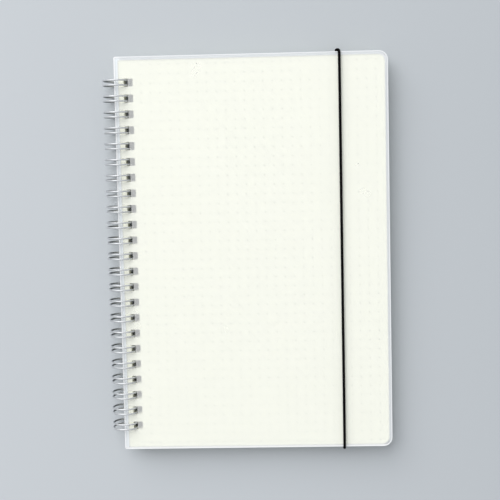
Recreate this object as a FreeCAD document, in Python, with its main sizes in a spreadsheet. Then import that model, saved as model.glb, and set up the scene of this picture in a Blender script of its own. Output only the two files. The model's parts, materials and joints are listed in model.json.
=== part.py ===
import FreeCAD, Part
import math
import os

import Sketcher

# A5 notebook on a twin-loop wire, with frosted plastic covers and an elastic closure, in millimetres.
# X runs from the spine to the fore-edge, Y to the head of the book and Z up from the table.
# The origin is on the table under the middle of the book.

SIZES = {
    # pages
    "page_width": 142.0,
    "page_length": 210.0,
    "page_stack": 7.5,
    "page_corner": 4.0,
    "page_room": 0.05,
    # covers, which reach past the pages all round
    "end_overhang": 1.5,
    "spine_overhang": 2.2,
    "fore_overhang": 1.6,
    "cover_sheet": 0.5,
    "fore_corner": 4.8,
    "spine_corner": 1.0,
    # row of punched holes, whose middle lies a little nearer the tail than the covers' middle
    "row_shift": 0.4,
    "hole_pitch": 8.467,
    "hole_length": 4.3,
    "hole_width": 4.9,
    "cover_hole_margin": 2.4,
    "end_margin": 12.5,
    # binding wire, whose two strands spread a little from the base of each loop to its tip
    "wire_diameter": 0.95,
    "base_gap": 2.35,
    "tip_gap": 2.85,
    "wire_room": 0.2,
    "axis_inset": 0.5,
    "tip_lap": 5.0,
    "flare_reach": 2.5,
    "flare_spread": 0.9,
    # elastic cord
    "cord_diameter": 1.5,
    "cord_seat": 0.15,
    "cord_inset": 26.0,
    "anchor_inset": 27.9,
    "anchor_margin": 12.0,
    # clips on the cord's ends
    "clip_length": 8.0,
    "clip_width": 2.6,
    "clip_corner": 0.9,
    "clip_sheet": 0.5,
    "clip_room": 0.08,
    "collar_wall": 0.3,
    "collar_room": 0.1,
}

# The wire has this many flats, and its bends are short straight runs that each turn by about these angles.
WIRE_SIDES = 6
ARC_TURN = 24.0
UNDER_TURN = 30.0
BEND_TURN = 45.0

doc = FreeCAD.newDocument("spiral_notebook")
sheet = doc.addObject("Spreadsheet::Sheet", "Sizes")
for row, (alias, size) in enumerate(SIZES.items(), start=1):
    sheet.set("A%d" % row, alias)
    sheet.set("B%d" % row, str(size))
    sheet.setAlias("B%d" % row, alias)
doc.recompute()

COVER_LENGTH = "(Sizes.page_length + 2 * Sizes.end_overhang)"
COVER_WIDTH = "(Sizes.page_width + Sizes.spine_overhang + Sizes.fore_overhang)"

# Heights of the stack above the table, as expressions of the sheet's cells.
BACK_BOTTOM = "(Sizes.cord_diameter + Sizes.cord_seat)"
BACK_TOP = "(%s + Sizes.cover_sheet)" % BACK_BOTTOM
PAGE_BOTTOM = "(%s + Sizes.clip_sheet + 2 * Sizes.clip_room)" % BACK_TOP
FRONT_BOTTOM = "(%s + Sizes.page_stack + Sizes.page_room)" % PAGE_BOTTOM
FRONT_TOP = "(%s + Sizes.cover_sheet)" % FRONT_BOTTOM

# The wire's ring rests on the table and just clears the far edge of the front cover's holes.
WIRE_HALF = "(Sizes.wire_diameter / 2 * cos(180 / %d))" % WIRE_SIDES
REACH = "(Sizes.cover_hole_margin + Sizes.hole_width - Sizes.axis_inset - Sizes.wire_room)"
AXIS_HEIGHT = "((%s^2 + %s^2) / (2 * %s))" % (REACH, FRONT_BOTTOM, FRONT_BOTTOM)
RING_RADIUS = "(%s - %s)" % (AXIS_HEIGHT, WIRE_HALF)
BOOK_WIDTH = "(%s - Sizes.axis_inset + %s)" % (AXIS_HEIGHT, COVER_WIDTH)
AXIS_X = "(%s - %s / 2)" % (AXIS_HEIGHT, BOOK_WIDTH)

# Both covers lie edge to edge. The near edge of the pages' holes just clears the ring at the lowest page.
COVER_X = "(%s - Sizes.axis_inset)" % AXIS_X
PAGE_X = "(%s + Sizes.spine_overhang)" % COVER_X
PAGE_HOLE_X = "(%s + sqrt((%s - %s)^2 - (%s - %s)^2) - Sizes.wire_room)" % (
    AXIS_X, RING_RADIUS, WIRE_HALF, AXIS_HEIGHT, PAGE_BOTTOM)
PAGE_HOLE_MARGIN = "(%s - %s)" % (PAGE_HOLE_X, PAGE_X)

LOOPS = "(floor((%s - 2 * Sizes.end_margin) / Sizes.hole_pitch) + 1)" % COVER_LENGTH
ROW_LENGTH = "((%s - 1) * Sizes.hole_pitch)" % LOOPS


def value(expression):
    """The number that an expression of the sheet's cells gives."""
    return float(sheet.evalExpression(expression))


def place(item, x, y, z):
    """Bind an object's place to three expressions."""
    item.setExpression("Placement.Base.x", x)
    item.setExpression("Placement.Base.y", y)
    item.setExpression("Placement.Base.z", z)


def origin_plane(body, role):
    """One of the body's own origin planes."""
    return next(item for item in body.Origin.OriginFeatures if item.Role == role)


def flat_sketch(body, name):
    """An empty sketch on the body's own XY plane."""
    sketch = body.newObject("Sketcher::SketchObject", name)
    sketch.AttachmentSupport = [(origin_plane(body, "XY_Plane"), "")]
    sketch.MapMode = "FlatFace"
    return sketch


def bind(sketch, name, kind, places, expression):
    """Add a named dimension to a sketch and bind it to an expression."""
    index = sketch.addConstraint(Sketcher.Constraint(kind, *places, value(expression)))
    sketch.renameConstraint(index, name)
    sketch.setExpression("Constraints." + name, expression)


def rectangle(sketch, left, bottom, width, length):
    """Draw a rectangle with its lower left corner, width and length bound to expressions."""
    x0, y0 = value(left), value(bottom)
    x1, y1 = x0 + value(width), y0 + value(length)
    corners = [(x0, y0), (x1, y0), (x1, y1), (x0, y1)]
    points = [FreeCAD.Vector(x, y, 0) for x, y in corners]
    for start, end in zip(points, points[1:] + points[:1]):
        sketch.addGeometry(Part.LineSegment(start, end), False)
    for side in range(4):
        sketch.addConstraint(Sketcher.Constraint("Coincident", side, 2, (side + 1) % 4, 1))
        sketch.addConstraint(Sketcher.Constraint("Vertical" if side % 2 else "Horizontal", side))
    bind(sketch, "left", "DistanceX", (-1, 1, 0, 1), left)
    bind(sketch, "bottom", "DistanceY", (-1, 1, 0, 1), bottom)
    bind(sketch, "width", "DistanceX", (0, 1, 0, 2), width)
    bind(sketch, "length", "DistanceY", (1, 1, 1, 2), length)


def circle(sketch, name, x, y, diameter):
    """Draw a circle with its middle and diameter bound to expressions."""
    middle = FreeCAD.Vector(value(x), value(y), 0)
    index = sketch.addGeometry(Part.Circle(middle, FreeCAD.Vector(0, 0, 1), value(diameter) / 2), False)
    bind(sketch, name + "_x", "DistanceX", (-1, 1, index, 3), x)
    bind(sketch, name + "_y", "DistanceY", (-1, 1, index, 3), y)
    bind(sketch, name + "_diameter", "Diameter", (index,), diameter)


def pad(body, name, sketch, height):
    """Pad a sketch upwards by an expression."""
    feature = body.newObject("PartDesign::Pad", name)
    feature.Profile = sketch
    feature.setExpression("Length", height)
    doc.recompute()
    return feature


def pocket(body, name, sketch):
    """Cut a sketch upwards through the whole body and check that it removed material."""
    before = body.Shape.Volume
    feature = body.newObject("PartDesign::Pocket", name)
    feature.Profile = sketch
    feature.Type = "ThroughAll"
    feature.Reversed = True
    doc.recompute()
    if body.Shape.Volume >= before:
        raise RuntimeError(name + " cut nothing")
    return feature


def round_corners(body, name, at_x, radius):
    """Round the two upright corner edges at the given x."""
    base = body.Tip
    upright = ["Edge%d" % number for number, edge in enumerate(base.Shape.Edges, start=1)
               if abs(edge.Vertexes[0].X - at_x) + abs(edge.Vertexes[-1].X - at_x) < 1e-6
               and abs(edge.Vertexes[0].Y - edge.Vertexes[-1].Y) < 1e-6]
    feature = body.newObject("PartDesign::Fillet", name)
    feature.Base = (base, upright)
    feature.setExpression("Radius", radius)
    doc.recompute()


def punch_row(body, margin, shift):
    """Punch one hole near the head and repeat it along the spine."""
    sketch = flat_sketch(body, body.Name + "_hole_sketch")
    first = "%s / 2 - %s - Sizes.hole_length / 2" % (ROW_LENGTH, shift)
    rectangle(sketch, margin, first, "Sizes.hole_width", "Sizes.hole_length")
    hole = pocket(body, body.Name + "_hole", sketch)
    row = body.newObject("PartDesign::LinearPattern", body.Name + "_hole_row")
    row.Originals = [hole]
    row.Direction = (sketch, ["V_Axis"])
    row.Reversed = True
    row.setExpression("Length", ROW_LENGTH)
    row.setExpression("Occurrences", LOOPS)
    body.Tip = row
    doc.recompute()


def bound_sheet(name, width, length, thickness, corners, margin, shift):
    """A flat sheet or stack with rounded corners and the row of holes, its spine edge at x = 0."""
    body = doc.addObject("PartDesign::Body", name)
    body.Label = name
    outline = flat_sketch(body, name + "_outline")
    rectangle(outline, "0", "-%s / 2" % length, width, length)
    pad(body, name + "_pad", outline, thickness)
    spine_corner, fore_corner = corners
    round_corners(body, name + "_fore_corners", value(width), fore_corner)
    round_corners(body, name + "_spine_corners", 0.0, spine_corner)
    punch_row(body, margin, shift)
    return body


def cover(name):
    corners = ("Sizes.spine_corner", "Sizes.fore_corner")
    return bound_sheet(name, COVER_WIDTH, COVER_LENGTH, "Sizes.cover_sheet",
                       corners, "Sizes.cover_hole_margin", "Sizes.row_shift")


def front_cover():
    body = cover("front_cover")
    place(body, COVER_X, "0", FRONT_BOTTOM)
    return body


def page_block():
    corners = ("Sizes.spine_corner", "Sizes.page_corner")
    body = bound_sheet("page_block", "Sizes.page_width", "Sizes.page_length", "Sizes.page_stack",
                       corners, PAGE_HOLE_MARGIN, "0")
    place(body, PAGE_X, "-Sizes.row_shift", PAGE_BOTTOM)
    return body


COLLAR_BORE = "(Sizes.cord_diameter + 2 * Sizes.collar_room)"
COLLAR_OUTSIDE = "(%s + 2 * Sizes.collar_wall)" % COLLAR_BORE
ANCHOR_HOLE = "(%s + 2 * Sizes.collar_room)" % COLLAR_OUTSIDE
ANCHOR_Y = "(%s / 2 - Sizes.anchor_margin)" % COVER_LENGTH
ANCHOR_X = "(%s + %s - Sizes.anchor_inset)" % (COVER_X, COVER_WIDTH)


def back_cover():
    """The back cover has two round holes more, near head and tail, for the ends of the elastic cord."""
    body = cover("back_cover")
    sketch = flat_sketch(body, "cord_hole_sketch")
    circle(sketch, "cord_hole", COVER_WIDTH + " - Sizes.anchor_inset", ANCHOR_Y, ANCHOR_HOLE)
    hole = pocket(body, "cord_hole", sketch)
    pair = body.newObject("PartDesign::Mirrored", "cord_hole_pair")
    pair.Originals = [hole]
    pair.MirrorPlane = (origin_plane(body, "XZ_Plane"), [""])
    body.Tip = pair
    doc.recompute()
    place(body, COVER_X, "0", BACK_BOTTOM)
    return body


def elastic_clip(name, side):
    """A flat metal bar across the cord's hole, with a collar round the cord's end; side is 1 at the head."""
    body = doc.addObject("PartDesign::Body", name)
    body.Label = name
    outline = flat_sketch(body, name + "_bar_sketch")
    rectangle(outline, "-Sizes.clip_length / 2", "-Sizes.clip_width / 2",
              "Sizes.clip_length", "Sizes.clip_width")
    pad(body, name + "_bar", outline, "Sizes.clip_sheet")
    for end, end_name in ((-1, "_inner_end"), (1, "_outer_end")):
        round_corners(body, name + end_name, end * value("Sizes.clip_length / 2"), "Sizes.clip_corner")
    collar = flat_sketch(body, name + "_collar_sketch")
    circle(collar, "bore", "0", "0", COLLAR_BORE)
    circle(collar, "outside", "0", "0", COLLAR_OUTSIDE)
    tube = pad(body, name + "_collar", collar, "Sizes.cover_sheet + Sizes.clip_room")
    tube.Reversed = True
    doc.recompute()
    place(body, ANCHOR_X, "%d * %s" % (side, ANCHOR_Y), "%s + Sizes.clip_room" % BACK_TOP)
    return body


def rounded_path(corners, radii):
    """One wire through the corners, with a tangent arc of the given radius at each inner corner."""
    edges = []
    start = corners[0]
    for before, corner, after, radius in zip(corners, corners[1:], corners[2:], radii):
        back = (before - corner).normalize()
        ahead = (after - corner).normalize()
        half_turn = (math.pi - back.getAngle(ahead)) / 2
        cut = radius * math.tan(half_turn)
        inward = (back + ahead).normalize()
        middle = corner + inward * (radius / math.cos(half_turn) - radius)
        arc_start = corner + back * cut
        arc_end = corner + ahead * cut
        edges.append(Part.LineSegment(start, arc_start).toShape())
        edges.append(Part.Arc(arc_start, middle, arc_end).toShape())
        start = arc_end
    edges.append(Part.LineSegment(start, corners[-1]).toShape())
    return Part.Wire(edges)


def elastic_band():
    """The cord comes down through one hole in the back cover, round head and tail, and up into the other."""
    radius = value("Sizes.cord_diameter / 2")
    round_edge = value("Sizes.cord_diameter / 2 + Sizes.cord_seat")
    anchor_x, anchor_y = value(ANCHOR_X), value(ANCHOR_Y)
    front_x = value("%s + %s - Sizes.cord_inset" % (COVER_X, COVER_WIDTH))
    end_y = value(COVER_LENGTH + " / 2") + round_edge
    low = radius
    high = value(FRONT_TOP) + round_edge
    end_height = value(BACK_TOP + " + Sizes.clip_room")
    head = [
        (anchor_x, anchor_y, end_height),
        (anchor_x, anchor_y, low),
        (anchor_x, end_y, low),
        (front_x, end_y, high),
    ]
    tail = [(x, -y, z) for x, y, z in reversed(head)]
    path = rounded_path([FreeCAD.Vector(*point) for point in head + tail], [round_edge] * 6)
    end_circle = Part.Circle(FreeCAD.Vector(*head[0]), FreeCAD.Vector(0, 0, -1), radius)
    solid = path.makePipe(Part.Face(Part.Wire(end_circle.toShape())))
    section = math.pi * radius**2
    print("elastic cord: %.1f mm long, volume %.4f of section times length"
          % (path.Length, solid.Volume / (section * path.Length)))
    return computed_piece("elastic_band", solid)


def computed_piece(name, solid):
    piece = doc.addObject("Part::Feature", name)
    piece.Label = name
    piece.Shape = solid
    return piece


def turned(start, end, step):
    """Angles from start to end in equal steps of about the given size, both ends included."""
    count = max(1, round(abs(end - start) / step))
    return [start + (end - start) * index / count for index in range(count + 1)]


def wire_path():
    """Corners of the wire's route. Each loop rises from the table round the spine, passes over the covers and
    down through the holes, turns at its tip and runs back beside itself. A wider bend leads to the next."""
    ring = value(RING_RADIUS)
    base = value("Sizes.base_gap / 2")
    tip_half = value("Sizes.tip_gap / 2")
    flare_x = value("Sizes.flare_reach")
    flare_y = base + value("Sizes.flare_spread")
    pitch = value("Sizes.hole_pitch")
    loops = round(value(LOOPS))
    first_y = value("-Sizes.row_shift - %s / 2" % ROW_LENGTH)
    back_drop = value("%s - %s" % (AXIS_HEIGHT, BACK_BOTTOM))
    tip_angle = -math.degrees(math.asin(back_drop / ring)) - value("Sizes.tip_lap")
    rise = turned(-90.0, -180.0, UNDER_TURN) + turned(-180.0, tip_angle - 360.0, ARC_TURN)[1:]
    strand = []
    for angle in rise:
        share = (angle - rise[0]) / (rise[-1] - rise[0])
        half_gap = base + (tip_half - base) * share
        turn = math.radians(angle)
        strand.append((ring * math.cos(turn), half_gap, ring * math.sin(turn)))
    bend = [math.radians(angle) for angle in turned(0.0, 180.0, BEND_TURN)]
    tip = math.radians(tip_angle)
    link_radius = pitch / 2 - flare_y
    points = []
    for loop in range(loops):
        middle = first_y + loop * pitch
        points.append((flare_x, middle - flare_y, -ring))
        points += [(x, middle - y, z) for x, y, z in strand]
        for angle in bend[1:-1]:
            ahead = tip_half * math.sin(angle)
            points.append((ring * math.cos(tip) + ahead * math.sin(tip),
                           middle - tip_half * math.cos(angle),
                           ring * math.sin(tip) - ahead * math.cos(tip)))
        points += [(x, middle + y, z) for x, y, z in reversed(strand)]
        points.append((flare_x, middle + flare_y, -ring))
        if loop < loops - 1:
            between = middle + pitch / 2
            for angle in bend[1:-1]:
                points.append((flare_x + link_radius * math.sin(angle),
                               between - link_radius * math.cos(angle),
                               -ring))
    axis = FreeCAD.Vector(value(AXIS_X), 0, value(AXIS_HEIGHT))
    return [axis + FreeCAD.Vector(*point) for point in points]


def mitred_sweep(points, section):
    """A solid along straight runs between the points, mitred at each, from its first section's corners."""
    runs = [(end - start).normalize() for start, end in zip(points, points[1:])]
    cuts = [first + second for first, second in zip(runs, runs[1:])] + [runs[-1]]
    rings = [section]
    for run, cut, point in zip(runs, cuts, points[1:]):
        rings.append([corner + run * (cut.dot(point - corner) / cut.dot(run)) for corner in rings[-1]])
    outlines = [list(reversed(rings[0])), rings[-1]]
    for ring, following in zip(rings, rings[1:]):
        for side in range(len(section)):
            beside = (side + 1) % len(section)
            outlines.append([ring[side], ring[beside], following[beside], following[side]])
    faces = [Part.Face(Part.makePolygon(outline + outline[:1])) for outline in outlines]
    return Part.Solid(Part.Shell(faces))


def wire_binding():
    """One wire of six flats, with a flat on the table, bent into every twin loop of the spine."""
    points = wire_path()
    radius = value("Sizes.wire_diameter / 2")
    along = (points[1] - points[0]).normalize()
    up = FreeCAD.Vector(0, 0, 1)
    across = up.cross(along)
    section = []
    for side in range(WIRE_SIDES):
        angle = 2 * math.pi * side / WIRE_SIDES
        section.append(points[0] + across * (radius * math.cos(angle)) + up * (radius * math.sin(angle)))
    if (section[1] - section[0]).cross(section[2] - section[1]).dot(along) < 0:
        section.reverse()
    solid = mitred_sweep(points, section)
    length = sum((end - start).Length for start, end in zip(points, points[1:]))
    area = WIRE_SIDES / 2 * radius**2 * math.sin(2 * math.pi / WIRE_SIDES)
    print("wire: %.0f mm long, %d runs, volume %.4f of section times length"
          % (length, len(points) - 1, solid.Volume / (area * length)))
    return computed_piece("wire_binding", solid)


pieces = [
    front_cover(),
    page_block(),
    back_cover(),
    wire_binding(),
    elastic_band(),
    elastic_clip("elastic_clip_upper", 1),
    elastic_clip("elastic_clip_lower", -1),
]
doc.recompute()

for item in doc.Objects:
    if any(state in ("Invalid", "Error") for state in item.State):
        raise RuntimeError("%s failed: %s" % (item.Name, item.State))
for piece in pieces:
    if piece.Shape.isNull() or not piece.Shape.isValid():
        raise RuntimeError(piece.Label + " has no valid shape")

os.makedirs("parts", exist_ok=True)
for piece in pieces:
    piece.Shape.exportStep("parts/%s.step" % piece.Label)
    box = piece.Shape.BoundBox
    print("%-20s %9.2f mm3  x %8.3f %8.3f  y %8.3f %8.3f  z %7.3f %7.3f" % (
        piece.Label, piece.Shape.Volume, box.XMin, box.XMax, box.YMin, box.YMax, box.ZMin, box.ZMax))
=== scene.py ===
import json
import math
import random

import bmesh
import bpy
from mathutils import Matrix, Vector


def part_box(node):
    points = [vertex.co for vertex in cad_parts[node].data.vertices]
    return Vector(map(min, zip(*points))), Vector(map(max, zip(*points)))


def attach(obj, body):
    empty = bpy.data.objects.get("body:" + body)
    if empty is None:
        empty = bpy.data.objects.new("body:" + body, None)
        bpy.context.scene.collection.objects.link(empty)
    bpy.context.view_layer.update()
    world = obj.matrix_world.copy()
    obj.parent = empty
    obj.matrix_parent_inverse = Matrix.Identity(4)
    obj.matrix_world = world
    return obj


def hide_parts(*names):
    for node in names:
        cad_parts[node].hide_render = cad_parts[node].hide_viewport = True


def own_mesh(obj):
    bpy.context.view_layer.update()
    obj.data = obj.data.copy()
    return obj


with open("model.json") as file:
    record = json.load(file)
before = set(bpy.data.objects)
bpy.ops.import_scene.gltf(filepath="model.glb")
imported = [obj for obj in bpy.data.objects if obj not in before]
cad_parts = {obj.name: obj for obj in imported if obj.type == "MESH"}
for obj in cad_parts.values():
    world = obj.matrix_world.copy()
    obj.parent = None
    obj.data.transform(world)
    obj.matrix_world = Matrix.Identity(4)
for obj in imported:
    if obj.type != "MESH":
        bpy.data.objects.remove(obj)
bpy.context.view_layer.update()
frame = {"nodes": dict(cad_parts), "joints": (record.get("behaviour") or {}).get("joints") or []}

# The notebook's looks: frosted covers, dotted pages, a round silver wire and a braided black
# elastic. Metres, in the row frame: X runs from the spine to the fore-edge, Y to the head and
# Z up. Colours are linear, and a noise's scale is in features per metre.

MM = 0.001
random.seed(7)

# Camera, fitted to the corners of the front cover in the photograph
CAMERA_PLACE = Vector((18.79, 54.4, 539.3)) * MM
CAMERA_TURN = [math.radians(angle) for angle in (-3.986, 1.787, -1.248)]
CAMERA_LENS = 71.10
CAMERA_SHIFT = -0.06
CAMERA_NEAR = 10.0 * MM

# Shading of meshes: faces this near to level are flat, and edges this sharp stay sharp
LEVEL = 0.9999
SHARP_ANGLE = math.radians(40)

# Covers
COVER_FORE_RADIUS = 4.8 * MM
COVER_SPINE_RADIUS = 1.0 * MM
COVER_HOLE_MARGIN = 2.4 * MM
COVER_HOLE_STEPS = 4
COVER_EDGE_ROUND = 0.09 * MM
CORNER_STEPS = 8

# Pages
PAGE_FORE_RADIUS = 4.0 * MM
PAGE_SPINE_RADIUS = 1.0 * MM
PAGE_HOLE_MARGIN = 2.76 * MM
PAGE_HOLE_STEPS = 1
LEAVES = 80
LEAF_GAP = 0.006 * MM
LEAF_STRAY = 0.06 * MM

# Row of holes and wire
HOLE_PITCH = 8.467 * MM
HOLE_LENGTH = 4.3 * MM
HOLE_WIDTH = 4.9 * MM
HOLE_CORNER = 0.35 * MM
WIRE_RADIUS = 0.475 * MM
WIRE_SIDES = 12
BASE_GAP = 2.35 * MM
TIP_GAP = 2.85 * MM
TIP_LAP = math.radians(5)
FLARE_REACH = 2.5 * MM
FLARE_SPREAD = 0.9 * MM
FLARE_STEPS = 6
ARC_STEPS = 44
BEND_STEPS = 12

# Elastic cord, whose braid turns once in its pitch
CORD_RADIUS = 0.75 * MM
CORD_SIDES = 24
CORD_RING_STEP = 0.22 * MM
SPLINE_STEPS = 24
BRAID_PITCH = 2.6 * MM
BRAID_THREADS = 4
BRAID_DEPTH = 0.03

page_low, page_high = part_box("page_block")
back_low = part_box("back_cover")[0]
wire_low, wire_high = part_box("wire_binding")
hinge = next(joint for joint in frame["joints"] if joint["name"] == "page_block_turn")
axis = Vector(hinge["pos_m"])
RING_RADIUS = axis.z - WIRE_RADIUS
TIP_ANGLE = -math.asin((axis.z - back_low.z) / RING_RADIUS) - TIP_LAP
row_middle = (wire_low.y + wire_high.y) / 2
LOOPS = round((wire_high.y - wire_low.y - BASE_GAP - 2 * FLARE_SPREAD) / HOLE_PITCH) + 1
loop_middles = [row_middle + (index - (LOOPS - 1) / 2) * HOLE_PITCH for index in range(LOOPS)]


# Meshes

def new_piece(name, verts, faces, material, body):
    """A mesh object in the row frame that rides on a body and takes its finish from a slot. Its
    level faces are shaded flat, so that the rounding of an edge doesn't reach across a sheet."""
    mesh = bpy.data.meshes.new(name)
    mesh.from_pydata(verts, [], faces)
    mesh.validate()
    mesh.materials.append(material)
    mesh.set_sharp_from_angle(angle=SHARP_ANGLE)
    for polygon in mesh.polygons:
        polygon.use_smooth = abs(polygon.normal.z) < LEVEL
    piece = bpy.data.objects.new(name, mesh)
    bpy.context.scene.collection.objects.link(piece)
    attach(piece, body)
    return piece


def rounded_loop(low, high, radii, steps, inset=0.0):
    """Anticlockwise points of a rectangle whose corners have the given radii, drawn in by inset.
    Radii are in the order lower left, lower right, upper right, upper left."""
    corners = [(low[0], low[1]), (high[0], low[1]), (high[0], high[1]), (low[0], high[1])]
    inward = [(1, 1), (-1, 1), (-1, -1), (1, -1)]
    points = []
    for number, (corner, side, radius) in enumerate(zip(corners, inward, radii)):
        middle_x = corner[0] + side[0] * radius
        middle_y = corner[1] + side[1] * radius
        reach = radius - inset
        for step in range(steps + 1):
            angle = math.pi + (number + step / steps) * math.pi / 2
            points.append((middle_x + reach * math.cos(angle), middle_y + reach * math.sin(angle)))
    return points


def filled(loops):
    """Triangles that fill the first loop around the others. They hold numbers into the points of
    all the loops."""
    bm = bmesh.new()
    edges = []
    for loop in loops:
        verts = [bm.verts.new((x, y, 0)) for x, y in loop]
        edges += [bm.edges.new(pair) for pair in zip(verts, verts[1:] + verts[:1])]
    bmesh.ops.triangle_fill(bm, use_beauty=True, use_dissolve=False, edges=edges, normal=(0, 0, 1))
    bm.verts.index_update()
    triangles = []
    for face in bm.faces:
        numbers = [vert.index for vert in face.verts]
        triangles.append(numbers if face.normal.z > 0 else numbers[::-1])
    bm.free()
    return triangles


def sheet_loops(low, high, corners, holes, inset=0.0):
    """The outline and holes of a bound sheet. Corners are (spine radius, fore-edge radius)."""
    spine, fore = corners
    loops = [rounded_loop(low, high, (spine, fore, fore, spine), CORNER_STEPS, inset)]
    for hole_low, hole_high, radius, steps in holes:
        loops.append(rounded_loop(hole_low, hole_high, (radius,) * 4, steps, -inset))
    return loops


def sheet_mesh(layers, triangles, drift=(0.0, 0.0)):
    """Verts and faces of one sheet: layers are (loops, height) from its underside up."""
    verts = []
    for loops, height in layers:
        for loop in loops:
            verts += [(x + drift[0], y + drift[1], height) for x, y in loop]
    count = sum(len(loop) for loop in layers[0][0])
    top = (len(layers) - 1) * count
    faces = [tuple(reversed(face)) for face in triangles]
    faces += [tuple(number + top for number in face) for face in triangles]
    for level in range(len(layers) - 1):
        start = level * count
        for index, loop in enumerate(layers[level][0]):
            size = len(loop)
            for number in range(size):
                first = start + number
                second = start + (number + 1) % size
                side = (first, second, second + count, first + count)
                faces.append(side if index == 0 else side[::-1])
            start += size
    return verts, faces


def holes_at(start_x, steps):
    """Every hole of a sheet whose holes begin at start_x: low corner, high corner, corner radius
    and the steps of a corner."""
    half = HOLE_LENGTH / 2
    return [((start_x, y - half), (start_x + HOLE_WIDTH, y + half), HOLE_CORNER, steps)
            for y in loop_middles]


def tube(points, radius_at, sides):
    """A closed tube round a line of points, with flat ends. radius_at gives the radius from the
    distance along the line and the angle round it."""
    verts, faces = [], []
    ahead = [(b - a).normalized() for a, b in zip(points, points[1:])]
    ahead.append(ahead[-1])
    across = ahead[0].orthogonal().normalized()
    travelled = 0.0
    for index, point in enumerate(points):
        before = ahead[max(index - 1, 0)]
        along = (before + ahead[index]).normalized()
        across = (across - along * across.dot(along)).normalized()
        third = along.cross(across)
        if index:
            travelled += (point - points[index - 1]).length
        for side in range(sides):
            angle = 2 * math.pi * side / sides
            reach = radius_at(travelled, angle)
            verts.append(point + (across * math.cos(angle) + third * math.sin(angle)) * reach)
    for start in range(0, (len(points) - 1) * sides, sides):
        for side in range(sides):
            beside = (side + 1) % sides
            faces.append((start + side, start + beside,
                          start + sides + beside, start + sides + side))
    last = (len(points) - 1) * sides
    faces.append(tuple(reversed(range(sides))))
    faces.append(tuple(range(last, last + sides)))
    return verts, faces


# Materials

class Nodes:
    """A tree of nodes, with short ways to add and join them."""

    def __init__(self, tree):
        self.tree = tree

    def node(self, kind, **settings):
        made = self.tree.nodes.new(kind)
        for key, setting in settings.items():
            setattr(made, key, setting)
        return made

    def join(self, source, target):
        """Give an input a number, a colour or another node's output."""
        if isinstance(source, (int, float)):
            target.default_value = source
        elif isinstance(source, tuple):
            target.default_value = (*source, 1.0)
        else:
            self.tree.links.new(source, target)

    def math(self, operation, first, second=0.0, clamp=False):
        made = self.node("ShaderNodeMath", operation=operation, use_clamp=clamp)
        self.join(first, made.inputs[0])
        self.join(second, made.inputs[1])
        return made.outputs[0]

    def ramp(self, upper, lower, width):
        """A number that goes from 0 to 1 as upper rises past lower by the width."""
        return self.math("DIVIDE", self.math("SUBTRACT", upper, lower), width, clamp=True)

    def length(self, first, second):
        """The length of a flat vector, from its two parts."""
        squares = [self.math("POWER", part, 2.0) for part in (first, second)]
        return self.math("SQRT", self.math("ADD", *squares))

    def parts(self, vector):
        """X, Y and Z of a vector."""
        made = self.node("ShaderNodeSeparateXYZ")
        self.join(vector, made.inputs[0])
        return made.outputs[:]


class Shader(Nodes):
    """A new material and its nodes. Its place is the point in the row frame, at rest."""

    def __init__(self, name):
        self.material = bpy.data.materials.new(name)
        self.material.use_nodes = True
        super().__init__(self.material.node_tree)
        self.surface = self.tree.nodes["Principled BSDF"]
        self.place = self.node("ShaderNodeTexCoord").outputs["Object"]

    def facing(self):
        """X, Y and Z of the face's own normal in the row frame, at rest."""
        normal = self.node("ShaderNodeNewGeometry").outputs["True Normal"]
        turned = self.node("ShaderNodeVectorTransform", vector_type="NORMAL",
                           convert_from="WORLD", convert_to="OBJECT")
        self.join(normal, turned.inputs[0])
        return self.parts(turned.outputs[0])

    def noise(self, scale, detail, roughness=0.5):
        """Noise at the point. Scale is one number, or one for each of X, Y and Z."""
        place = self.place
        if isinstance(scale, tuple):
            stretched = self.node("ShaderNodeMapping")
            self.join(place, stretched.inputs["Vector"])
            stretched.inputs["Scale"].default_value = scale
            place, scale = stretched.outputs[0], 1.0
        made = self.node("ShaderNodeTexNoise")
        self.join(place, made.inputs["Vector"])
        made.inputs["Scale"].default_value = scale
        made.inputs["Detail"].default_value = detail
        made.inputs["Roughness"].default_value = roughness
        return made.outputs["Fac"]

    def mix(self, share, first, second):
        """A colour between two, which are colours or outputs."""
        made = self.node("ShaderNodeMix", data_type="RGBA")
        self.join(share, made.inputs["Factor"])
        self.join(first, made.inputs["A"])
        self.join(second, made.inputs["B"])
        return made.outputs["Result"]

    def spread(self, share, low, high):
        """A number between low and high."""
        made = self.node("ShaderNodeMapRange")
        self.join(share, made.inputs["Value"])
        made.inputs["To Min"].default_value = low
        made.inputs["To Max"].default_value = high
        return made.outputs[0]

    def bump(self, height, strength, distance):
        made = self.node("ShaderNodeBump")
        self.join(height, made.inputs["Height"])
        made.inputs["Strength"].default_value = strength
        made.inputs["Distance"].default_value = distance
        self.join(made.outputs[0], self.surface.inputs["Normal"])

    def set(self, **settings):
        """Settings of the Principled shader, by name with underscores for spaces."""
        for key, setting in settings.items():
            name = key.replace("_", " ").title().replace("Ior", "IOR")
            self.join(setting, self.surface.inputs[name])


# Frosted plastic, which is denser where the pages don't lie behind it. There it has a painted
# bluish-grey shade, along its cut edge a painted white glow, and painted light makes the bands
# beside the spine and the tail lighter
COVER_RIM = 0.8 * MM
PAGE_SHADE = 0.3 * MM
SPINE_BAND = 3.5 * MM
SPINE_BLEND = 1.0 * MM
TAIL_BAND = 1.5 * MM
TAIL_BLEND = 0.5 * MM
PLASTIC_ALPHA = 0.26
OVERHANG_ALPHA = {"front_cover": 0.6, "back_cover": 0.4}
RIM_ALPHA = {"front_cover": 0.85, "back_cover": 0.45}
MILKY = ((0.935, 0.945, 0.945), (0.955, 0.96, 0.96))
# Painted shade beyond the pages, and painted light in the bands beside the spine and the tail
OVERHANG_PAINTED_SHADE = (0.76, 0.79, 0.815)
SPINE_PAINTED_LIGHT = (0.87, 0.91, 0.94)
TAIL_PAINTED_LIGHT = (0.95, 0.96, 0.97)
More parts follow.
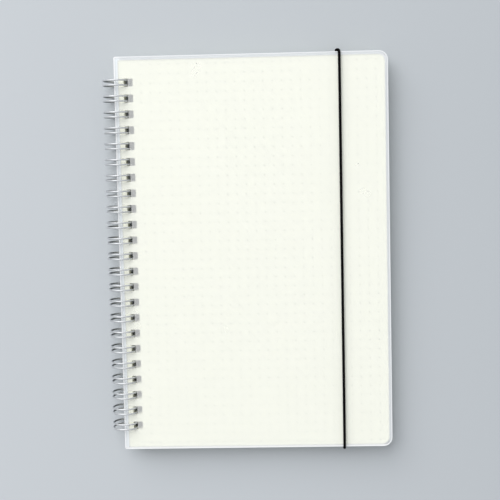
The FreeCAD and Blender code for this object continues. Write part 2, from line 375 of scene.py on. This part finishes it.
# Painted white glow along the cut edge, brighter beside the spine and the tail
RIM_PAINTED_GLOW = (0.87, 0.89, 0.91)
BRIGHT_RIM_PAINTED_GLOW = (0.96, 0.97, 0.98)
PLASTIC_IOR = 1.49


def frosted_plastic(node, low, high):
    """The plastic of a cover, whose box has the corners low and high."""
    shader = Shader(node + "_plastic")
    x, y, _ = shader.parts(shader.place)
    middle = (low + high) / 2
    half = (high - low) / 2

    # How deep the point lies inside the cover's outline, which has round corners
    across = shader.math("SUBTRACT", x, middle.x)
    along = shader.math("SUBTRACT", y, middle.y)
    fore_side = shader.math("GREATER_THAN", across, 0.0)
    radius = shader.spread(fore_side, COVER_SPINE_RADIUS, COVER_FORE_RADIUS)
    beyond = []
    for part, reach in ((across, half.x), (along, half.y)):
        to_edge = shader.math("SUBTRACT", reach, shader.math("ABSOLUTE", part))
        beyond.append(shader.math("MAXIMUM", shader.math("SUBTRACT", radius, to_edge), 0.0))
    depth = shader.math("SUBTRACT", radius, shader.length(*beyond))
    # Where the painted glow of the cut edge lies
    glow_rim = shader.ramp(COVER_RIM, depth, COVER_RIM / 2)

    # How far it lies outside the pages, and in which band
    outside = [shader.math("MAXIMUM", shader.math("SUBTRACT", start, part),
                           shader.math("SUBTRACT", part, end))
               for part, start, end in ((x, page_low.x, page_high.x), (y, page_low.y, page_high.y))]
    overhang = shader.ramp(shader.math("MAXIMUM", *outside), -PAGE_SHADE / 3, PAGE_SHADE)
    spine_light_band = shader.ramp(low.x + SPINE_BAND, x, SPINE_BLEND)
    tail_light_band = shader.ramp(low.y + TAIL_BAND, y, TAIL_BLEND)
    painted_light_side = shader.math("MAXIMUM", spine_light_band, tail_light_band)

    # Painted shade beyond the pages, lightened by painted light beside the spine and the tail
    painted_band = shader.mix(spine_light_band, OVERHANG_PAINTED_SHADE, SPINE_PAINTED_LIGHT)
    painted_band = shader.mix(tail_light_band, painted_band, TAIL_PAINTED_LIGHT)
    # Painted glow of the cut edge
    painted_glow = shader.mix(painted_light_side, RIM_PAINTED_GLOW, BRIGHT_RIM_PAINTED_GLOW)
    milky = shader.mix(shader.noise(scale=45.0, detail=3.0), *MILKY)
    milky = shader.mix(overhang, milky, painted_band)
    grain = shader.noise(scale=5200.0, detail=3.0)
    sheet_alpha = shader.spread(overhang, PLASTIC_ALPHA, OVERHANG_ALPHA[node])
    shader.set(
        base_color=shader.mix(glow_rim, milky, painted_glow),
        alpha=shader.math("MAXIMUM", sheet_alpha, shader.math("MULTIPLY", glow_rim, RIM_ALPHA[node])),
        roughness=shader.spread(grain, 0.42, 0.56),
        ior=PLASTIC_IOR,
    )
    shader.bump(grain, strength=0.12, distance=0.04 * MM)
    return shader.material


# Paper, with dots 5 mm apart that begin this far from the pages' spine and head edges. A dot's
# edge is as a share of the pitch.
DOT_PITCH = 5.0 * MM
DOT_RADIUS = 0.31 * MM
DOT_EDGE = 1 / 60
DOT_COLUMNS = 26
DOT_ROWS = 42
FIRST_DOT_IN = 12.2 * MM
FIRST_DOT_DOWN = 2.6 * MM
DOT_COLOUR = (0.07, 0.08, 0.09)
CREAM = ((0.95, 0.96, 0.825), (0.96, 0.965, 0.845))
FIBRE_COLOUR = (0.965, 0.97, 0.88)
FIBRE_SHARE = 0.25
LEAF_EDGES = ((0.92, 0.925, 0.80), (0.98, 0.98, 0.88))
FACE_UP = 0.7


def dotted_paper():
    """Cream paper, with a faint dot grid on its flat faces and the leaves' lines on its edges."""
    shader = Shader("dotted_paper")
    x, y, _ = shader.parts(shader.place)
    from_spine = shader.math("SUBTRACT", x, page_low.x + FIRST_DOT_IN)
    from_head = shader.math("SUBTRACT", page_high.y - FIRST_DOT_DOWN, y)
    offsets, tests = [], []
    for distance, number in ((from_spine, DOT_COLUMNS), (from_head, DOT_ROWS)):
        count = shader.math("DIVIDE", distance, DOT_PITCH)
        nearest = shader.math("ROUND", count)
        offsets.append(shader.math("SUBTRACT", count, nearest))
        tests.append(shader.math("GREATER_THAN", nearest, -0.5))
        tests.append(shader.math("LESS_THAN", nearest, number - 0.5))
    flat = shader.math("GREATER_THAN", shader.math("ABSOLUTE", shader.facing()[2]), FACE_UP)
    dot = shader.ramp(DOT_RADIUS / DOT_PITCH, shader.length(*offsets), DOT_EDGE)
    for test in (*tests, flat):
        dot = shader.math("MULTIPLY", dot, test)

    fibres = shader.noise(scale=2600.0, detail=4.0, roughness=0.6)
    paper = shader.mix(shader.noise(scale=60.0, detail=3.0), *CREAM)
    paper = shader.mix(shader.spread(fibres, 0.0, FIBRE_SHARE), paper, FIBRE_COLOUR)
    edges = shader.mix(shader.noise(scale=(60.0, 60.0, 9000.0), detail=2.0), *LEAF_EDGES)
    paper = shader.mix(flat, edges, paper)
    shader.set(
        base_color=shader.mix(dot, paper, DOT_COLOUR),
        roughness=shader.spread(fibres, 0.82, 0.95),
        specular_ior_level=0.2,
    )
    shader.bump(fibres, strength=0.15, distance=0.05 * MM)
    return shader.material


# Silver coat. Painted shade darkens the flanks of the wire and the inside of each loop's lower
# half, most of all at the spine's outer side, and painted light makes the flanks lighter further
# from it. The last three are shares of the ring's radius.
COAT = ((0.50, 0.52, 0.54), (0.59, 0.60, 0.61))
FLANK_PAINTED_SHADE_AND_LIGHT = ((0.25, 0.27, 0.30), (0.74, 0.75, 0.76))
INSIDE_PAINTED_SHADE = ((0.06, 0.065, 0.07), (0.5, 0.51, 0.52))
INSIDE_FROM = 0.1
INSIDE_BLEND = 0.625
FLANK_FROM = 0.62
FLANK_BLEND = 0.3125
LOWER_HEIGHT = 0.35
LOWER_BLEND = 0.3
SPINE_FADE = 0.8


def silver_wire():
    """Wire with a silver coat, scratched a little along its run."""
    shader = Shader("silver_wire")
    x, _, z = shader.parts(shader.place)
    facing_x, facing_y, facing_z = shader.facing()
    toward_x = shader.math("MULTIPLY", facing_x, shader.math("SUBTRACT", axis.x, x))
    toward_z = shader.math("MULTIPLY", facing_z, shader.math("SUBTRACT", axis.z, z))
    inward = shader.math("DIVIDE", shader.math("ADD", toward_x, toward_z), RING_RADIUS)
    # Where painted shade falls: the inside of each loop's lower half, and the flanks
    lower = shader.ramp(axis.z + RING_RADIUS * LOWER_HEIGHT, z, RING_RADIUS * LOWER_BLEND)
    inside_shade = shader.math("MULTIPLY", shader.ramp(inward, INSIDE_FROM, INSIDE_BLEND), lower)
    flank_light_and_shade = shader.ramp(shader.math("ABSOLUTE", facing_y), FLANK_FROM, FLANK_BLEND)
    from_spine = shader.ramp(x, axis.x - RING_RADIUS, RING_RADIUS * SPINE_FADE)

    dull = shader.noise(scale=420.0, detail=3.0)
    marks = shader.noise(scale=(900.0, 6000.0, 900.0), detail=2.0)
    coat = shader.mix(dull, *COAT)
    # Painted shade and painted light on the flanks, and painted shade inside each lower half
    coat = shader.mix(flank_light_and_shade, coat, shader.mix(from_spine, *FLANK_PAINTED_SHADE_AND_LIGHT))
    shader.set(
        base_color=shader.mix(inside_shade, coat, shader.mix(from_spine, *INSIDE_PAINTED_SHADE)),
        metallic=0.6,
        roughness=shader.spread(dull, 0.36, 0.5),
    )
    shader.bump(marks, strength=0.08, distance=0.03 * MM)
    return shader.material


BLACK_THREADS = ((0.001, 0.001, 0.0012), (0.004, 0.004, 0.0045))


def black_elastic():
    """Matt black braid."""
    shader = Shader("black_elastic")
    threads = shader.noise(scale=5200.0, detail=2.0)
    shader.set(
        base_color=shader.mix(threads, *BLACK_THREADS),
        roughness=shader.spread(threads, 0.7, 0.9),
        specular_ior_level=0.03,
    )
    shader.bump(threads, strength=0.3, distance=0.06 * MM)
    return shader.material


STEEL = ((0.60, 0.61, 0.62), (0.76, 0.77, 0.78))


def clip_steel():
    """Pressed steel with a brushed face."""
    shader = Shader("clip_steel")
    brushed = shader.noise(scale=(300.0, 9000.0, 3000.0), detail=3.0)
    shader.set(
        base_color=shader.mix(shader.noise(scale=900.0, detail=3.0), *STEEL),
        metallic=1.0,
        roughness=shader.spread(brushed, 0.26, 0.46),
    )
    shader.bump(brushed, strength=0.15, distance=0.02 * MM)
    return shader.material


# Covers and pages

def make_cover(node):
    """A thin frosted sheet with rounded edges, in the place of a cover's node."""
    low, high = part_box(node)
    corners = (COVER_SPINE_RADIUS, COVER_FORE_RADIUS)
    holes = holes_at(low.x + COVER_HOLE_MARGIN, COVER_HOLE_STEPS)
    layers = []
    for turn in (0.0, 0.5, 1.0):
        inset = COVER_EDGE_ROUND * (1 - math.sin(turn * math.pi / 2))
        height = low.z + COVER_EDGE_ROUND * (1 - math.cos(turn * math.pi / 2))
        layers.append((sheet_loops(low, high, corners, holes, inset), height))
    layers += [(loops, low.z + high.z - height) for loops, height in reversed(layers)]
    verts, faces = sheet_mesh(layers, filled(layers[0][0]))
    material = frosted_plastic(node, low, high)
    piece = new_piece(node + "_sheet", verts, faces, material, node)
    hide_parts(node)


def make_pages():
    """Every leaf of the block, each a little out of line with the next."""
    corners = (PAGE_SPINE_RADIUS, PAGE_FORE_RADIUS)
    holes = holes_at(page_low.x + PAGE_HOLE_MARGIN, PAGE_HOLE_STEPS)
    loops = sheet_loops(page_low, page_high, corners, holes)
    triangles = filled(loops)
    pitch = (page_high.z - page_low.z) / LEAVES
    verts, faces = [], []
    for leaf in range(LEAVES):
        base = page_low.z + leaf * pitch
        drift = (random.uniform(-LEAF_STRAY, LEAF_STRAY), random.uniform(-LEAF_STRAY, LEAF_STRAY))
        layers = [(loops, base), (loops, base + pitch - LEAF_GAP)]
        leaf_verts, leaf_faces = sheet_mesh(layers, triangles, drift)
        start = len(verts)
        verts += leaf_verts
        faces += [tuple(number + start for number in face) for face in leaf_faces]
    piece = new_piece("page_leaves", verts, faces, dotted_paper(), "page_block")
    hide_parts("page_block")


# Wire

def half_circle(radius):
    """Points on a half circle between its ends, as (how far out, how far along)."""
    angles = [math.pi * step / BEND_STEPS for step in range(1, BEND_STEPS)]
    return [(radius * math.sin(angle), -radius * math.cos(angle)) for angle in angles]


def strand_line():
    """The head side's strand of one loop, from the ring's middle: it draws in from the run on the
    table, then goes up round the spine, over and down through the holes to the tip."""
    base, tip = BASE_GAP / 2, TIP_GAP / 2
    strand = []
    for step in range(FLARE_STEPS):
        share = step / FLARE_STEPS
        ease = (1 - math.cos(share * math.pi)) / 2
        strand.append((FLARE_REACH * (1 - share), base + FLARE_SPREAD * (1 - ease), -RING_RADIUS))
    start, end = -math.pi / 2, TIP_ANGLE - 2 * math.pi
    for step in range(ARC_STEPS + 1):
        share = step / ARC_STEPS
        angle = start + (end - start) * share
        strand.append((RING_RADIUS * math.cos(angle), base + (tip - base) * share,
                       RING_RADIUS * math.sin(angle)))
    return strand


def wire_line():
    """The middle line of the wire: at each loop up one strand, round the tip and back down the
    other, and then round on the table to the next loop."""
    strand = strand_line()
    tip_x, tip_z = RING_RADIUS * math.cos(TIP_ANGLE), RING_RADIUS * math.sin(TIP_ANGLE)
    link_radius = HOLE_PITCH / 2 - BASE_GAP / 2 - FLARE_SPREAD
    points = []
    for middle in loop_middles:
        points += [(x, middle - y, z) for x, y, z in strand]
        points += [(tip_x + out * math.sin(TIP_ANGLE), middle + along,
                    tip_z - out * math.cos(TIP_ANGLE)) for out, along in half_circle(TIP_GAP / 2)]
        points += [(x, middle + y, z) for x, y, z in reversed(strand)]
        if middle != loop_middles[-1]:
            points += [(FLARE_REACH + out, middle + HOLE_PITCH / 2 + along, -RING_RADIUS)
                       for out, along in half_circle(link_radius)]
    centre = Vector((axis.x, 0, axis.z))
    return [centre + Vector(point) for point in points]


def make_wire():
    verts, faces = tube(wire_line(), lambda distance, angle: WIRE_RADIUS, WIRE_SIDES)
    piece = new_piece("round_wire", verts, faces, silver_wire(), "back_cover")
    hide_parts("wire_binding")


# Elastic

# Route of the cord in millimetres: from its clip near the head down through the back cover, out
# to the head edge, up past both covers, straight down the front and back in the same way at the
# tail. The points beside a corner keep the bend tight round the edge.
CORD_ROUTE = [
    (48.391, 94.5, 2.23),
    (48.391, 94.5, 0.75),
    (48.5, 96.0, 0.75),
    (49.4, 105.0, 0.75),
    (49.8, 107.4, 0.75),
    (49.7, 107.4, 3.15),
    (48.95, 107.4, 9.6),
    (50.5, 107.3, 11.76),
    (50.62, 105.0, 11.76),
    (50.291, -105.0, 11.76),
    (50.291, -107.0, 11.76),
    (50.25, -107.4, 9.36),
    (50.2, -107.4, 3.15),
    (50.2, -107.4, 0.75),
    (50.1, -105.0, 0.75),
    (48.5, -96.0, 0.75),
    (48.391, -94.5, 0.75),
    (48.391, -94.5, 2.23),
]


def smooth_line(points):
    """Points read from a NURBS spline whose control points are given."""
    curve = bpy.data.curves.new("route", "CURVE")
    curve.dimensions = "3D"
    curve.resolution_u = SPLINE_STEPS
    spline = curve.splines.new("NURBS")
    spline.points.add(len(points) - 1)
    for control, point in zip(spline.points, points):
        control.co = (*point, 1.0)
    spline.order_u = 3
    spline.use_endpoint_u = True
    carrier = bpy.data.objects.new("route", curve)
    mesh = bpy.data.meshes.new_from_object(carrier)
    line = [vert.co.copy() for vert in mesh.vertices]
    bpy.data.objects.remove(carrier)
    bpy.data.curves.remove(curve)
    bpy.data.meshes.remove(mesh)
    return line


def even_points(line, spacing):
    """Points along a line, the same distance apart."""
    length = sum((b - a).length for a, b in zip(line, line[1:]))
    count = round(length / spacing)
    step = length / count
    points, passed, wanted = [line[0]], 0.0, step
    for start, end in zip(line, line[1:]):
        run = (end - start).length
        while run > 0 and wanted <= passed + run and len(points) < count:
            points.append(start.lerp(end, (wanted - passed) / run))
            wanted += step
        passed += run
    points.append(line[-1])
    return points


def braided(distance, angle):
    """Radius of a cord braided from threads that cross each other."""
    threads = BRAID_THREADS * angle
    turn = 2 * math.pi * distance / BRAID_PITCH
    weave = math.sin(threads + turn * 2) * math.sin(threads - turn * 2)
    return CORD_RADIUS * (1 - BRAID_DEPTH + BRAID_DEPTH * weave)


def make_elastic():
    route = [Vector(point) * MM for point in CORD_ROUTE]
    line = even_points(smooth_line(route), CORD_RING_STEP)
    verts, faces = tube(line, braided, CORD_SIDES)
    piece = new_piece("elastic_cord", verts, faces, black_elastic(), "back_cover")
    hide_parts("elastic_band")
    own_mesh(piece)


# Stage: a large soft lamp and a plain pale room. The floor grows lighter to the left of FLOOR_TURN,
# over FLOOR_BLEND: painted light, falling off away from the lamp's side.
FLOOR_REACH = 3.0
FLOOR_COLOURS = ((0.474, 0.504, 0.534), (0.549, 0.579, 0.611))
FLOOR_TURN = 0.126
FLOOR_BLEND = 0.34
FLOOR_MOTTLE = 0.2
LAMP_PLACE = Vector((-2.05, 3.22, 3.42))
LAMP_SIZE = 5.4
LAMP_ENERGY = 286.0
LAMP_COLOUR = (1.0, 0.995, 0.985)
ROOM_LIGHT = 0.57
ROOM_LIGHT_COLOUR = (0.97, 0.985, 1.0)
ROOM_HEIGHTS = (0.1, 0.85)
ROOM_COLOURS = ((0.50, 0.52, 0.54), (0.97, 0.98, 1.0))


def make_floor():
    """A pale floor, made lighter to the left by painted light."""
    shader = Shader("floor")
    x = shader.parts(shader.place)[0]
    # Painted light: a share that grows to the left, towards the lamp
    painted_falloff = shader.math("DIVIDE", shader.math("SUBTRACT", FLOOR_TURN, x), FLOOR_BLEND)
    mottle = shader.math("MULTIPLY", shader.noise(scale=3.0, detail=2.0), FLOOR_MOTTLE)
    share = shader.math("ADD", painted_falloff, mottle, clamp=True)
    shader.set(
        base_color=shader.mix(share, *FLOOR_COLOURS),
        roughness=0.8,
        specular_ior_level=0.1,
    )
    corners = [(FLOOR_REACH * x, FLOOR_REACH * y, 0)
               for x, y in ((-1, -1), (1, -1), (1, 1), (-1, 1))]
    mesh = bpy.data.meshes.new("floor")
    mesh.from_pydata(corners, [], [(0, 1, 2, 3)])
    mesh.materials.append(shader.material)
    floor = bpy.data.objects.new("floor", mesh)
    bpy.context.scene.collection.objects.link(floor)


def make_lamp():
    """A large soft lamp at the upper left."""
    key = bpy.data.lights.new("key", "AREA")
    key.shape = "SQUARE"
    key.size = LAMP_SIZE
    key.energy = LAMP_ENERGY
    key.color = LAMP_COLOUR
    lamp = bpy.data.objects.new("key", key)
    lamp.location = LAMP_PLACE
    lamp.rotation_euler = (-LAMP_PLACE).to_track_quat("-Z", "Y").to_euler()
    bpy.context.scene.collection.objects.link(lamp)


def make_room():
    """A plain pale room: what is seen of it is greyer low down, and its light is even."""
    world = bpy.data.worlds.new("room")
    world.use_nodes = True
    room = Nodes(world.node_tree)
    room.tree.nodes.clear()
    direction = room.node("ShaderNodeTexCoord").outputs["Generated"]
    ramp = room.node("ShaderNodeValToRGB")
    room.join(room.parts(direction)[2], ramp.inputs["Fac"])
    for stop, height, colour in zip(ramp.color_ramp.elements, ROOM_HEIGHTS, ROOM_COLOURS):
        stop.position = height
        stop.color = (*colour, 1.0)
    seen = room.node("ShaderNodeBackground")
    room.join(ramp.outputs["Color"], seen.inputs["Color"])
    light = room.node("ShaderNodeBackground")
    room.join(ROOM_LIGHT_COLOUR, light.inputs["Color"])
    room.join(ROOM_LIGHT, light.inputs["Strength"])
    path = room.node("ShaderNodeLightPath").outputs
    sight = room.math("MAXIMUM", path["Is Camera Ray"], path["Is Glossy Ray"])
    sight = room.math("MAXIMUM", sight, path["Is Transmission Ray"])
    mix = room.node("ShaderNodeMixShader")
    for source, target in zip((sight, light.outputs[0], seen.outputs[0]), mix.inputs):
        room.join(source, target)
    room.join(mix.outputs[0], room.node("ShaderNodeOutputWorld").inputs["Surface"])
    bpy.context.scene.world = world
    bpy.context.scene.view_settings.view_transform = "Standard"


def make_camera():
    data = bpy.data.cameras.new("camera")
    data.lens = CAMERA_LENS
    data.shift_y = CAMERA_SHIFT
    data.clip_start = CAMERA_NEAR
    camera = bpy.data.objects.new("camera", data)
    camera.location = CAMERA_PLACE
    camera.rotation_euler = CAMERA_TURN
    bpy.context.scene.collection.objects.link(camera)
    bpy.context.scene.camera = camera


make_cover("front_cover")
make_cover("back_cover")
make_pages()
make_wire()
make_elastic()
steel = clip_steel()
for clip in ("elastic_clip_upper", "elastic_clip_lower"):
    frame["nodes"][clip].data.materials.clear()
    frame["nodes"][clip].data.materials.append(steel)
make_floor()
make_lamp()
make_room()
make_camera()
